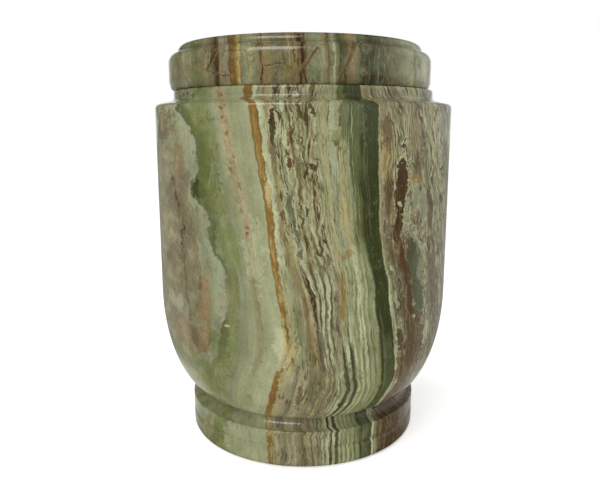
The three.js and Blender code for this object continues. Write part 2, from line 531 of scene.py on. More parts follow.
# Layers from left to right: the measure where each colour stands, and its name
LEFT_LAYERS = (
    (-112.0, "taupe"), (-107.5, "taupe"), (-107.2, "brown"), (-106.9, "mist"), (-106.2, "sage"),
    (-105.4, "mist"), (-104.3, "mist"), (-103.9, "moss"),
)

UPPER_LAYERS = (
    *LEFT_LAYERS, (-102.4, "deep_olive"), (-99.5, "olive"), (-95.5, "olive"), (-94.4, "grey_sage"),
    (-93.0, "sage"), (-91.2, "pale_sage"), (-90.7, "beige"), (-88.2, "beige"), (-87.5, "sage"),
    (-84.0, "sage"), (-80.9, "pale_sage"), (-80.4, "dark_amber"), (-79.4, "amber"), (-78.2, "amber"),
    (-77.7, "dark_amber"), (-77.2, "cream"), (-75.0, "pale_sage"), (-74.2, "tan"), (-72.2, "straw"),
    (-70.5, "straw"), (-70.1, "moss"), (-69.5, "cream"), (-68.9, "dark_moss"), (-68.4, "cream"),
    (-66.0, "sage"), (-64.4, "tan"), (-62.2, "tan"), (-61.4, "sage"), (-59.0, "straw"), (-57.3, "sage"),
    (-56.4, "rust"), (-55.4, "umber"), (-54.8, "straw"), (-52.0, "pale_sage"), (-49.5, "straw"),
    (-46.5, "pale_sage"), (-43.5, "pale_sage"), (-40.0, "straw"), (-37.2, "sage"), (-36.0, "olive"),
    (-34.8, "moss"), (-32.0, "deep_olive"), (-29.0, "dark_moss"), (-18.7, "dark_moss"), (-18.1, "straw"),
    (-16.0, "grey_beige"), (-12.5, "tan"), (-10.0, "taupe"), (-8.0, "tan"), (-6.6, "beige"), (-6.0, "umber"),
    (-5.4, "tan"), (0.0, "taupe"), (5.0, "sage"), (9.0, "tan"), (13.0, "sage"), (18.0, "grey_beige"),
    (22.0, "mauve"), (25.0, "sage"), (29.0, "tan"), (31.4, "umber"), (32.6, "umber"), (33.6, "sage"),
    (39.0, "pale_sage"), (46.0, "straw"), (50.0, "tan"), (54.0, "pale_sage"), (60.0, "grey_sage"),
    (66.0, "moss"), (69.0, "sage"), (76.0, "straw"), (80.0, "olive"), (86.0, "deep_olive"), (91.0, "sage"),
    (96.0, "amber"), (98.0, "sage"), (104.0, "taupe"), (112.0, "beige"),
)

LOWER_LAYERS = (
    *LEFT_LAYERS, (-102.4, "olive"), (-100.0, "olive"), (-97.0, "grey_sage"), (-93.0, "sage"),
    (-90.6, "taupe"), (-89.0, "sage"), (-84.0, "pale_sage"), (-80.4, "pale_sage"), (-79.9, "dark_amber"),
    (-79.3, "amber"), (-78.6, "amber"), (-78.2, "dark_amber"), (-77.7, "straw"), (-75.0, "sage"),
    (-73.0, "taupe"), (-71.5, "tan"), (-70.1, "straw"), (-69.8, "maroon"), (-68.0, "rust"), (-67.4, "cream"),
    (-65.9, "cream"), (-65.2, "umber"), (-64.4, "moss"), (-63.8, "cream"), (-62.0, "cream"),
    (-61.3, "umber"), (-60.2, "moss"), (-59.6, "cream"), (-57.7, "cream"), (-57.0, "moss"),
    (-55.7, "deep_olive"), (-55.0, "beige"), (-52.4, "grey_beige"), (-50.2, "straw"), (-48.2, "pale_sage"),
    (-47.2, "olive"), (-46.4, "cream"), (-44.0, "sage"), (-41.5, "olive"), (-40.4, "cream"),
    (-37.6, "cream"), (-36.6, "olive"), (-34.4, "pale_sage"), (-33.6, "olive"), (-30.6, "sage"),
    (-29.4, "pale_sage"), (-28.6, "moss"), (-27.8, "dark_moss"), (-18.8, "dark_moss"), (-18.1, "cream"),
    (-15.5, "sage"), (-14.9, "moss"), (-14.1, "cream"), (-11.0, "sage"), (-9.5, "brown"),
    (-8.0, "grey_sage"), (-6.0, "umber"), (-4.4, "tan"), (-3.8, "brown"), (2.0, "brown"), (7.0, "khaki"),
    (12.0, "taupe"), (16.0, "grey_sage"), (20.0, "sage"), (23.0, "mauve"), (28.0, "brown"), (33.0, "mauve"),
    (36.0, "sage"), (44.0, "grey_beige"), (52.0, "sage"), (60.0, "grey_beige"), (68.0, "olive"),
    (76.0, "taupe"), (82.0, "beige"), (88.0, "moss"), (92.0, "olive"), (99.0, "dark_amber"), (101.0, "sage"),
    (112.0, "grey_sage"),
)

BOTTOM_LAYERS = (
    (-112.0, "taupe"), (-107.0, "olive"), (-101.0, "olive"), (-97.5, "grey_sage"), (-95.0, "sage"),
    (-90.0, "sage"), (-86.0, "pale_sage"), (-80.5, "pale_sage"), (-80.0, "dark_amber"), (-79.2, "amber"),
    (-78.4, "dark_amber"), (-77.9, "straw"), (-76.0, "grey_beige"), (-75.2, "khaki"), (-74.4, "beige"),
    (-71.5, "taupe"), (-70.2, "khaki"), (-69.6, "straw"), (-66.0, "taupe"), (-65.2, "moss"),
    (-64.6, "beige"), (-62.5, "beige"), (-60.6, "khaki"), (-58.2, "pale_sage"), (-57.4, "moss"),
    (-56.6, "cream"), (-55.0, "taupe"), (-53.6, "cream"), (-52.2, "cream"), (-51.4, "dark_moss"),
    (-50.0, "dark_moss"), (-49.2, "cream"), (-48.0, "cream"), (-47.3, "dark_moss"), (-45.6, "moss"),
    (-44.6, "cream"), (-42.8, "olive"), (-41.2, "cream"), (-39.6, "olive"), (-38.0, "cream"),
    (-36.2, "olive"), (-34.6, "pale_sage"), (-33.0, "olive"), (-31.0, "sage"), (-29.2, "olive"),
    (-28.2, "dark_moss"), (-26.0, "moss"), (-21.0, "moss"), (-19.0, "dark_moss"), (-18.3, "cream"),
    (-17.0, "cream"), (-16.2, "moss"), (-15.4, "cream"), (-13.8, "pink_tan"), (-12.6, "brown"),
    (2.0, "brown"), (10.0, "umber"), (18.0, "tan"), (26.0, "brown"), (38.0, "taupe"), (50.0, "grey_beige"),
    (62.0, "brown"), (74.0, "olive"), (84.0, "moss"), (92.0, "sage"), (98.0, "amber"), (101.0, "sage"),
    (112.0, "taupe"),
)

# How patches are edged: tall ones, in millimetres, are torn more coarsely and bold ones more crisply. A patch
# ends where its reach is 1.
TALL_PATCH = 8
BOLD_PATCH = 0.65
CRISP_EDGE = 0.08
SOFT_EDGE = 0.3
RIM_EDGE = (1.6, 1.4)
RIM_SHARE = 0.8

# Patches on the front: colour, colour of the rim, strength, angle and height of the middle, half widths in
# degrees and in millimetres, and lean in degrees to the millimetre
PATCHES = (
    ("salmon", "", 0.75, -36.5, 98, 3.2, 18, -0.03),
    ("salmon", "", 0.55, -37.5, 78, 3.0, 10, 0.12),
    ("salmon", "", 0.45, -49.0, 78, 5.5, 10, 0.05),
    ("tan", "", 0.6, -47.5, 174, 4.0, 9, 0.0),
    ("mauve", "", 0.5, -60.0, 190, 8.0, 9, 0.0),
    ("straw", "", 0.4, -58.0, 138, 6.0, 9, 0.0),
    ("brown", "", 0.6, -59.0, 119, 2.2, 3, 0.0),
    ("dark_moss", "", 0.8, -38.5, 160, 3.4, 4.5, -0.1),
    ("moss", "", 0.6, -28.5, 82, 2.2, 7, 0.0),
    ("deep_olive", "", 0.7, -34.0, 170, 4.0, 22, -0.05),
    ("maroon", "cream", 0.95, -9.6, 190, 1.1, 9, -0.05),
    ("mauve", "", 0.8, -9.2, 178, 0.8, 6, -0.05),
    ("rust", "", 0.8, -7.2, 158, 0.5, 2, 0.0),
    ("rust", "", 0.8, -6.6, 149, 0.6, 3, 0.0),
    ("rust", "cream", 0.9, -3.8, 174, 1.6, 2.6, 0.0),
    ("dark_moss", "cream", 0.85, 0.6, 151, 0.7, 3.2, 0.0),
    ("umber", "", 0.9, 10.3, 183.5, 0.8, 1.2, 0.0),
    ("moss", "", 0.7, 15.0, 195, 4.6, 11, 0.0),
    ("olive", "", 0.6, 10.5, 187, 3.4, 4, 0.0),
    ("pale_amber", "", 0.5, 12.8, 149, 1.2, 7, -0.05),
    ("amber", "", 0.65, 14.5, 128, 1.8, 2.6, 0.0),
    ("amber", "", 0.75, 12.8, 106, 0.9, 14, -0.03),
    ("pale_amber", "", 0.45, 26.8, 174, 1.3, 12, -0.02),
    ("umber", "cream", 1.0, 34.6, 161, 2.7, 18, 0.02),
    ("umber", "", 1.0, 33.4, 142, 1.8, 10, 0.05),
    ("cream", "", 0.9, 34.0, 152, 0.6, 1.6, 0.0),
    ("grey_sage", "cream", 0.85, 43.0, 112, 4.6, 27, -0.13),
    ("moss", "", 0.85, 41.0, 121, 2.8, 13, -0.1),
    ("moss", "", 0.85, 45.0, 99, 3.2, 12, -0.1),
    ("pale_sage", "", 0.6, 46.0, 121, 0.9, 9, -0.15),
    ("brown", "", 0.8, 45.0, 74, 6.5, 14, -0.15),
    ("cream", "brown", 0.8, 52.0, 76, 2.0, 8, -0.05),
    ("mauve", "", 0.85, 55.0, 106, 3.6, 20, -0.1),
    ("rust", "", 1.0, 36.6, 120, 1.2, 17, -0.18),
    ("rust", "", 0.95, 40.0, 100, 1.3, 10, -0.1),
    ("maroon", "cream", 0.8, 36.5, 78, 1.3, 7, -0.1),
    ("cream", "", 0.8, -27.0, 88, 1.3, 0.9, 0.0),
    ("olive", "", 0.6, -55.0, 106, 6.0, 3.0, -0.5),
    ("cream", "", 0.45, -54.0, 94, 6.5, 5.0, -0.4),
    ("cream", "", 0.4, -56.0, 176, 5.0, 2.5, -0.6),
    ("brown", "", 0.5, -45.5, 137, 2.2, 8.0, 0.0),
    ("mauve", "", 0.6, -42.5, 77, 2.0, 8.0, 0.0),
    ("umber", "", 0.5, -38.5, 108, 1.0, 6.0, 0.0),
    ("brown", "", 0.7, 27.5, 190, 2.2, 7.0, -0.05),
    ("umber", "cream", 0.8, 27.6, 141, 0.8, 4.0, -0.1),
    ("brown", "", 0.6, 29.5, 158, 1.0, 12.0, 0.05),
    ("tan", "", 0.4, 40.0, 186, 3.0, 8.0, -0.1),
    ("brown", "", 0.5, 43.5, 174, 1.4, 6.0, -0.1),
    ("grey_sage", "cream", 0.8, 41.5, 156, 1.8, 7.0, 0.0),
    ("grey_sage", "cream", 0.8, 46.0, 150, 2.0, 9.0, -0.05),
    ("brown", "", 0.7, 50.0, 152, 1.2, 12.0, -0.12),
    ("brown", "", 0.3, -52.0, 140, 8.0, 24, 0.0),
    ("khaki", "", 0.6, -41.0, 138, 3.5, 12, 0.0),
    ("deep_olive", "", 0.45, -31.0, 76, 3.5, 11, 0.1),
    ("olive", "", 0.5, -25.0, 104, 2.6, 16, 0.0),
    ("cream", "", 0.6, -7.8, 80, 2.4, 11, -0.02),
    ("pale_amber", "", 0.7, -4.2, 73, 1.7, 8, 0.04),
    ("moss", "cream", 0.85, -3.2, 144, 1.1, 14, -0.14),
    ("mauve", "", 0.75, 5.4, 78, 1.3, 11, -0.09),
    ("brown", "", 0.7, -1.5, 49, 1.4, 8, 0.05),
    ("khaki", "", 0.7, 2.2, 52, 1.2, 7, 0.0),
    ("mauve", "", 0.6, 6.0, 40, 2.2, 7, 0.1),
    ("brown", "", 0.7, 7.6, 126, 1.1, 4, -0.1),
    ("brown", "", 0.6, 30.5, 128, 2.0, 8, -0.1),
    ("brown", "", 0.75, 43.0, 58, 6.5, 13, -0.12),
    ("pale_sage", "", 0.7, -32.0, 12, 9.0, 11, 0.0),
    ("umber", "", 0.8, 49.0, 9, 7.0, 8, 0.0),
    ("mauve", "", 0.7, 52.0, 19, 6.0, 5, 0.0),
    ("brown", "", 0.7, 46.0, 38, 9.0, 9, 0.0),
    # Partly the stone's own dark brown and partly painted shade: the cove above the foot, under the wild
    # side, made darker.
    ("umber", "", 0.8, 50.0, 25, 11.0, 5, 0.0),
    ("moss", "", 0.5, 17.0, 54, 4.0, 13, 0.0),
    ("amber", "", 0.7, -14.8, 186, 0.8, 17, -0.08),
    ("dark_amber", "", 0.8, -14.2, 192, 0.5, 9, -0.08),
    ("pale_amber", "cream", 0.6, -11.3, 160, 0.8, 5, -0.05),
    ("umber", "", 0.5, 39.0, 131, 2.0, 7, -0.1),
    ("khaki", "", 0.35, -24.0, 158, 3.0, 16, 0.05),
    ("khaki", "", 0.35, -24.5, 107, 3.0, 14, 0.0),
    ("khaki", "", 0.4, -53.0, 184, 6.0, 14, 0.0),
    ("deep_olive", "", 0.35, -34.0, 66, 6.0, 20, 0.1),
    ("cream", "", 0.4, -16.0, 129, 3.5, 14, -0.05),
    ("brown", "", 0.5, 37.0, 108, 4.5, 34, -0.12),
    ("amber", "", 0.6, 28.0, 176, 1.2, 7, 0.0),
    ("amber", "", 0.5, 40.5, 165, 2.6, 2.5, -0.5),
    ("deep_olive", "", 0.75, -61.0, 9, 17.0, 14, 0.0),
    ("brown", "", 0.4, 41.0, 13, 4.0, 10, 0.0),
)

# Blots in the bark and in the left side: colour, share, width, height, the noise's start and end, and seed
BARK_BLOTS = (
    ("umber", 0.85, 3.0, 5.0, 0.55, 0.63),
    ("cream", 0.6, 4.0, 6.0, 0.54, 0.62, 11.0),
    ("amber", 0.4, 5.0, 8.0, 0.55, 0.66, 23.0),
    ("moss", 0.4, 6.0, 9.0, 0.54, 0.63, 31.0),
)
LEFT_BLOTS = (
    ("mauve", 0.4, 16, 26, 0.48, 0.7, 3.0),
    ("mist", 0.5, 14, 10, 0.48, 0.64, 9.0),
    ("brown", 0.35, 8, 12, 0.54, 0.68, 15.0),
    ("beige", 0.5, 10, 16, 0.5, 0.64, 19.0),
)


def crack_curve():
    """The left side's crack: shares of the block's height, and angles from -90 degrees as shares of 90."""
    return [(height / BLOCK_HEIGHT, (angle + 90) / 90) for height, angle in CRACK]


def between(points, place):
    """The value at a place among sorted (place, value) points, with the end values kept beyond them."""
    if place <= points[0][0]:
        return points[0][1]
    for (p0, v0), (p1, v1) in zip(points, points[1:]):
        if place <= p1:
            return v0 + (v1 - v0) * (place - p0) / (p1 - p0)
    return points[-1][1]


def course_curve(outline, course):
    """A vein's course over the front as shares of the block's height and of the layers' reach."""
    points = []
    for i in range(COURSE_STEPS + 1):
        height = BLOCK_HEIGHT * i / COURSE_STEPS
        turn = math.radians(between(sorted(course), height))
        radius = radius_at(outline, height * MM) / MM
        layer = radius * (math.sin(turn) - LAYER_SLANT * math.cos(turn))
        points.append((i / COURSE_STEPS, (layer + COURSE_REACH) / (2 * COURSE_REACH)))
    return points


class VesselStone(StoneBench):
    """Banded green onyx, with slanting layers, an amber vein, a dark green band and cracked brown layers."""

    def __init__(self, outline, palette):
        super().__init__("vessel_onyx", palette)
        self.find_layers(outline)
        self.lay_layers()
        self.lay_broken_veins()
        self.lay_curls()
        self.lay_partings()
        self.lay_patches()
        self.lay_left_side()
        self.lay_foot()
        self.lay_green_band()
        self.lay_fine_layers()

    def curve(self, course):
        """A course as a function of height."""
        return self.add("ShaderNodeFloatCurve", {"course": course}, {"Value": self.z / BLOCK_HEIGHT})

    def straightened(self, places, across):
        """The layer of a place: its measure across the block, with the veins' courses taken out."""
        layers = [layer for layer, _ in COURSES]
        total = (across - places[0]).least(0.0) + (across - places[-1]).most(0.0) + layers[0]
        for low, high, first, last in zip(places, places[1:], layers, layers[1:]):
            total = total + self.step(across, low, high, last - first, "LINEAR")
        return total

    def find_layers(self, outline):
        """The stone's main parts, lobed at the left and torn from the amber vein on, and a place's layer."""
        self.along = (self.y - self.x * LAYER_SLANT) / math.hypot(1, LAYER_SLANT)
        back = self.along.most(0.0)
        behind = self.step(self.along, 5, 60)
        across = self.x + self.y * LAYER_SLANT - back * back * BACK_BEND
        places = [self.curve(course_curve(outline, course)) * (2 * COURSE_REACH) - COURSE_REACH
                  for _, course in COURSES]
        _, lobe_edge, _, amber_vein, cracked_vein, brown_vein, _, green_edge, _, _ = places
        self.lobed = self.step(across - lobe_edge, 8, 2)
        self.torn = self.step(across - amber_vein, -3, 5)
        self.bark = self.step(across - cracked_vein, -5, -1) * self.step(across - brown_vein, 6, 2)
        self.wild = self.step(across - green_edge, 1, 7)
        wave = self.sway(self.streaks(across / 26, 30, 15), 0.9)
        ripple = self.sway(self.streaks(across / 7, 9, 4.5), 0.6)
        jag = self.sway(self.streaks(across / 3, 4, 1.9, 3.0, 0.6), 0.5)
        lobe = self.sway(self.lumps(9, 8, 5.0, 0.66), 2.6)
        swirl = self.sway(self.lumps(14, 26, 3.0), 4.4)
        fold = self.sway(self.streaks(across / 80, 60, 55), 16)
        amber_run = self.band(across - amber_vein, -3, 4, 2)
        moved = across + wave * (self.torn * 0.8 + 0.3)
        moved = moved + ripple * (self.torn + amber_run * 0.6 + 0.15)
        moved = moved + jag * (self.torn - self.wild * 0.6 + amber_run * 0.8 + 0.15)
        moved = moved + lobe * self.lobed + swirl * (self.bark * 0.45 + self.wild) + fold * behind
        self.layer = self.straightened(places, moved)
        self.angle = self.maths("ARCTAN2", self.x, self.y * -1.0) * (180 / math.pi)
        self.foot = self.step(self.z, 27, 22)

    def lay_layers(self):
        """Three stretches of height, each with its own layers, which run into each other raggedly."""
        height = self.z + self.sway(self.streaks(self.layer / 9, 40, 20, 3.0), 12)
        pale = self.band(self.layer, -46, -31, 2)
        striped = self.step(self.layer, -58, -54)
        upper, lower, bottom = (self.layers(self.layer, stops)
                                for stops in (UPPER_LAYERS, LOWER_LAYERS, BOTTOM_LAYERS))
        self.colour = self.mix(self.step(height - pale * 10, 128, 114), upper, lower)
        self.colour = self.mix(self.step(height - striped * 9, 74, 62), self.colour, bottom)

    def lay_broken_veins(self):
        """Rows of spots in the pale stone, and light and dark stretches of the amber vein."""
        veil = self.band(self.layer, -103.0, -93.0, 1.5)
        self.lay(veil * self.blots(11, 20, 0.48, 0.66, 51.0) * 0.55, "mist")
        row = self.streaks(self.layer / 1.6, 9, 3.4, 4.0, 0.6)
        row_shows = self.step(self.z, 160, 172).most(self.band(self.z, 122, 148, 6)) * 0.85 + 0.15
        pink_row = self.band(self.layer, -91.6, -88.2, 0.6)
        self.lay(pink_row * row_shows * self.step(row, 0.4, 0.52) * 0.75, "pink_tan")
        self.lay(pink_row * self.step(row, 0.57, 0.61) * (row_shows * 0.4 + 0.45), "brown")
        amber = self.band(self.layer, -80.0, -78.0, 0.3)
        stretch = self.streaks(self.layer / 2.5, 20, 8, 4.0, 0.6)
        upper = self.step(self.z, 158, 182)
        self.lay(amber * self.step(stretch, 0.52, 0.6).most(upper * 0.8) * 0.75, "dark_amber")
        self.lay(amber * self.step(stretch, 0.5, 0.42) * (0.6 - upper * 0.4), "pale_amber")

    def lay_curls(self):
        """Curled contour lines and blots, in the bark of the middle and in the wild right side."""
        curl = self.lumps(13, 30) * 7.0 + self.layer * 0.3
        self.contour = abs(self.maths("SINE", curl * math.pi))
        rough = self.step(self.z, 60, 75) * (self.step(self.z, 112, 130) * 0.7 + 0.3)
        self.rough_bark = self.bark * rough
        self.patchy = self.step(self.lumps(10, 16, 3.0, seed=7.0), 0.38, 0.54)
        curled = (self.rough_bark + self.wild * 0.9).least(1.0) * self.patchy
        self.lay(self.step(self.contour, 0.75, 0.95) * curled * 0.6, "cream")
        self.lay(self.step(self.contour, 0.34, 0.05) * curled * 0.85, "brown")
        self.lay(self.step(self.contour, 0.1, 0.03) * self.bark * self.patchy * 0.7, "umber")
        swirled = self.streaks(curl * 0.9, 60, 60, 3.0, 0.6)
        lined = self.wild * (1.0 - self.patchy * 0.6)
        self.lay(self.step(swirled, 0.54, 0.58) * lined * 0.5, "cream")
        self.lay(self.step(swirled, 0.49, 0.44) * lined * 0.8, "brown")
        spotted = self.rough_bark * 0.5 + self.wild * 0.35
        for name, share, *blot in BARK_BLOTS:
            self.lay(self.blots(*blot) * spotted * share, name)

    def lay_partings(self):
        """Dark lines along the layers, broken here and there, each with a pale line beside it."""
        flow = self.layer * 0.2 + (self.lumps(15, 22, 3.0) - 0.5) * 2.6
        flow = flow + (self.lumps(6, 5) - 0.5) * self.bark * 0.7
        parting = self.streaks(flow, 40, 34) - 0.5
        where = self.rough_bark + self.wild * (1.0 - self.foot)
        shows = self.step(self.streaks(flow * 1.3 + 7.0, 12, 13.6, 3.0), 0.44, 0.52) * where
        self.lay(self.band(parting, 0.03, 0.06, 0.01) * shows * 0.6, "cream")
        self.lay(self.band(parting, -0.026, 0.026, 0.007) * shows * 0.9, "umber")

    def lay_patches(self):
        """The patches on the front: ragged ovals in the angle about the axis and the height."""
        coarse = (self.lumps(5, 5, 5.0, 0.68) - 0.5) * 5.0
        fine = (self.lumps(2, 2, 4.0, 0.65) - 0.5) * 5.0
        bent_angle = self.angle + self.sway(self.lumps(7, 9, 3.0), 1.3)
        bent_height = self.z + self.sway(self.lumps(9, 9, 3.0, seed=5.0), 3.5)
        spot = self.vector(bent_angle, bent_height, 1.0)
        coarse_edge, fine_edge = ((ragged * 0.9 + 1.0, ragged * 0.25) for ragged in (coarse, fine))
        for name, rim, strength, turn, middle, wide, tall, lean in PATCHES:
            tilt = (1 / wide, -lean / wide, (lean * middle - turn) / wide)
            side = self.add("ShaderNodeVectorMath", {"operation": "DOT_PRODUCT"}, {0: spot, 1: tilt}, "Value")
            rise = self.product(bent_height, 1 / tall, -middle / tall)
            edge = coarse_edge if tall > TALL_PATCH else fine_edge
            reach = self.product(self.product(side, side, rise * rise), *edge)
            if rim:
                self.lay(self.step(reach, *RIM_EDGE, strength * RIM_SHARE), rim)
            soft = CRISP_EDGE if strength > BOLD_PATCH else SOFT_EDGE
            self.lay(self.step(reach, 1 + soft, 1 - soft, strength), name)

    def lay_left_side(self):
        """Clouds in the left side, and the crack that runs down through it."""
        left = self.lobed * self.step(self.layer, -103.6, -104.4)
        for name, share, *blot in LEFT_BLOTS:
            self.lay(left * self.blots(*blot) * share, name)
        self.lay(left * self.step(self.contour, 0.2, 0.03) * self.patchy * 0.35, "brown")
        wander = self.sway(self.lumps(6, 4.2, 5.0, 0.72), 3.2)
        apart = abs(self.angle - self.curve(crack_curve()) * 90.0 + 90.0 + wander)
        reach = self.band(self.z, 74, 166, 5) * (self.step(self.z, 118, 132) * 0.55 + 0.45)
        shows = reach * self.step(self.lumps(5, 6, 4.0, 0.7), 0.38, 0.48)
        self.lay(self.step(apart, 5.0, 0.5) * shows * 0.45, "brown")
        self.lay(self.step(apart, 0.8, 0.3) * shows, "umber")

    def lay_foot(self):
        """The foot's own clouds: greyer at the front, and dark brown under the wild side."""
        self.lay(self.foot * (1.0 - self.wild) * self.blots(9, 12, 0.46, 0.62, 41.0) * 0.35, "taupe")
        self.lay(self.foot * self.wild * 0.6, "brown")
        self.lay(self.foot * self.wild * self.blots(8, 7, 0.44, 0.56, 61.0) * 0.75, "umber")

    def lay_green_band(self):
        """Short tears in the bark, and threads and clouds in the dark green band."""
        short = abs(self.streaks(self.layer * 1.3, 20, 13, 3.0, 0.6) - 0.5)
        gaps = self.step(self.noise(self.x / 5, self.y / 5, self.z / 8 + 9.0, 3.0), 0.46, 0.56)
        self.lay(self.step(short, 0.035, 0.01) * self.bark * gaps * 0.75, "umber")
        self.green = self.band(self.layer, -31.0, -18.6, 0.8)
        thread = abs(self.lumps(9, 14, 3.0, 0.6) - 0.5)
        self.lay(self.green * self.patchy * self.step(thread, 0.01, 0.002) * 0.3, "sage")
        self.lay(self.green * self.blots(8, 14, 0.48, 0.64, 5.0) * 0.5, "dark_moss")

    def lay_fine_layers(self):
        """Fine layering, cloudiness and grain, painted shade over the left side and the wild side's middle,
        and the open seams between the layers.
        """
        fine = self.streaks(self.layer * 0.8, 60, 40, 4.0, 0.7)
        finer = self.streaks(self.layer * 2.4, 30, 22, 3.0, 0.6)
        cloud = self.lumps(8, 10, 5.0, 0.6)
        grain = self.lumps(1.3, 1.7, 3.0, 0.65)
        streaked = (self.torn * 0.65 + 0.35) * (1.0 - self.green * 0.75) * (1.0 - self.wild * 0.45)
        self.lay(self.step(fine, 0.53, 0.66) * streaked * 0.55, "cream")
        self.lay(self.step(fine, 0.47, 0.34) * streaked * 0.6, "deep_olive")
        light = (finer - 0.5) * streaked * 0.9 + (cloud - 0.5) * 0.6 + (grain - 0.5) * 0.5 + 1.0
        # Painted shade: the colour is darkened over the left side, between -60 and -30 degrees and 70 to 180
        # mm up, and over the wild side from 70 to 140 mm up, short of its right edge.
        painted_side_shade = self.band(self.angle, -60, -30, 6) * self.band(self.z, 70, 180, 15)
        painted_side_shade = painted_side_shade + self.wild * self.band(self.z, 70, 140, 15) * self.step(self.angle, 54, 42)
        self.colour = self.shade(self.colour, light - painted_side_shade * 0.13)
        parting = abs(self.streaks(self.layer * 0.5, 50, 34) - 0.5)
        seam = self.step(parting, 0.03, 0.0).most(self.step(abs(parting - 0.1), 0.02, 0.0))
        broken = self.step(self.streaks(self.layer / 3, 12, 7, 3.0), 0.42, 0.55)
        cracks = seam * broken * self.torn * (1.0 - self.green)
        self.lay(cracks * 0.75, "umber")
        self.polish(cloud, cracks)


# The lid's stone. Its layers are given as x from the lid's middle, where they meet the front.

LID_SLANT = 0.15

LID_LAYERS = (
    (-85.0, "sage"), (-74.0, "grey_sage"), (-66.0, "khaki"), (-62.0, "grey_sage"), (-57.4, "khaki"),
    (-56.4, "deep_olive"), (-51.0, "khaki"), (-49.6, "taupe"), (-46.0, "khaki"), (-44.0, "moss"),
    (-43.2, "rust"), (-41.6, "umber"), (-41.0, "taupe"), (-36.6, "grey_beige"), (-35.4, "brown"),
    (-34.6, "dark_amber"), (-33.0, "dark_amber"), (-32.2, "amber"), (-30.2, "pale_amber"),
    (-29.7, "dark_amber"), (-29.2, "grey_sage"), (-26.0, "sage"), (-24.8, "straw"), (-23.0, "grey_sage"),
    (-20.8, "taupe"), (-19.8, "tan"), (-19.2, "brown"), (-18.4, "brown"), (-17.8, "tan"), (-13.0, "khaki"),
    (-9.0, "taupe"), (-7.8, "khaki"), (-6.0, "tan"), (-1.6, "tan"), (-0.8, "umber"), (-0.2, "dark_amber"),
    (2.2, "brown"), (3.0, "umber"), (3.6, "taupe"), (6.0, "grey_sage"), (10.8, "sage"), (12.0, "beige"),
    (13.2, "tan"), (14.4, "brown"), (14.9, "grey_sage"), (16.8, "sage"), (17.3, "cream"),
    (17.9, "grey_sage"), (19.2, "khaki"), (20.0, "dark_moss"), (22.6, "moss"), (23.4, "brown"),
    (25.4, "tan"), (28.0, "tan"), (29.0, "khaki"), (30.0, "moss"), (36.0, "dark_moss"), (39.0, "moss"),
    (45.6, "moss"), (46.8, "khaki"), (50.0, "khaki"), (54.0, "grey_sage"), (57.0, "sage"),
    (61.0, "pale_sage"), (62.5, "olive"), (64.0, "pale_sage"), (70.0, "pale_sage"), (85.0, "sage"),
)

# Cracks across the lid's front: colour, half width, and both ends as x from the lid's middle and rise
LID_CRACKS = (
    ("khaki", 0.4, -63, 12.5, -49, 8),
    ("dark_moss", 0.9, -43, 17, -48.4, 8),
    ("umber", 0.35, -49, 8, -41.5, 6),
    ("umber", 0.3, -41.5, 6, -35.5, 4.6),
    ("tan", 3.6, -4.2, 6.5, -4.2, 1.5),
    ("brown", 0.7, -20.5, 24, -18.4, 9.5),
    ("umber", 0.5, -18.4, 9.5, -19.4, 2),
    ("umber", 0.3, -19, 9, -13.5, 9.4),
    ("umber", 0.25, -13.5, 9.4, -7, 11),
    ("umber", 0.4, -3.8, 24, -2.4, 10.5),
    ("maroon", 1.2, 0.4, 24, 1.7, 8.5),
    ("maroon", 1.0, 1.7, 8.5, 0.2, 0),
    ("umber", 0.8, 1.7, 8.5, 3.4, 0),
    ("brown", 0.8, 2.4, 8.5, 8.4, 17),
    ("brown", 1.3, 28, 21, 22.4, 5.5),
    ("brown", 1.0, 26, 15, 18.8, 0),
    ("dark_moss", 0.5, 22.8, 7, 22.8, 0),
)


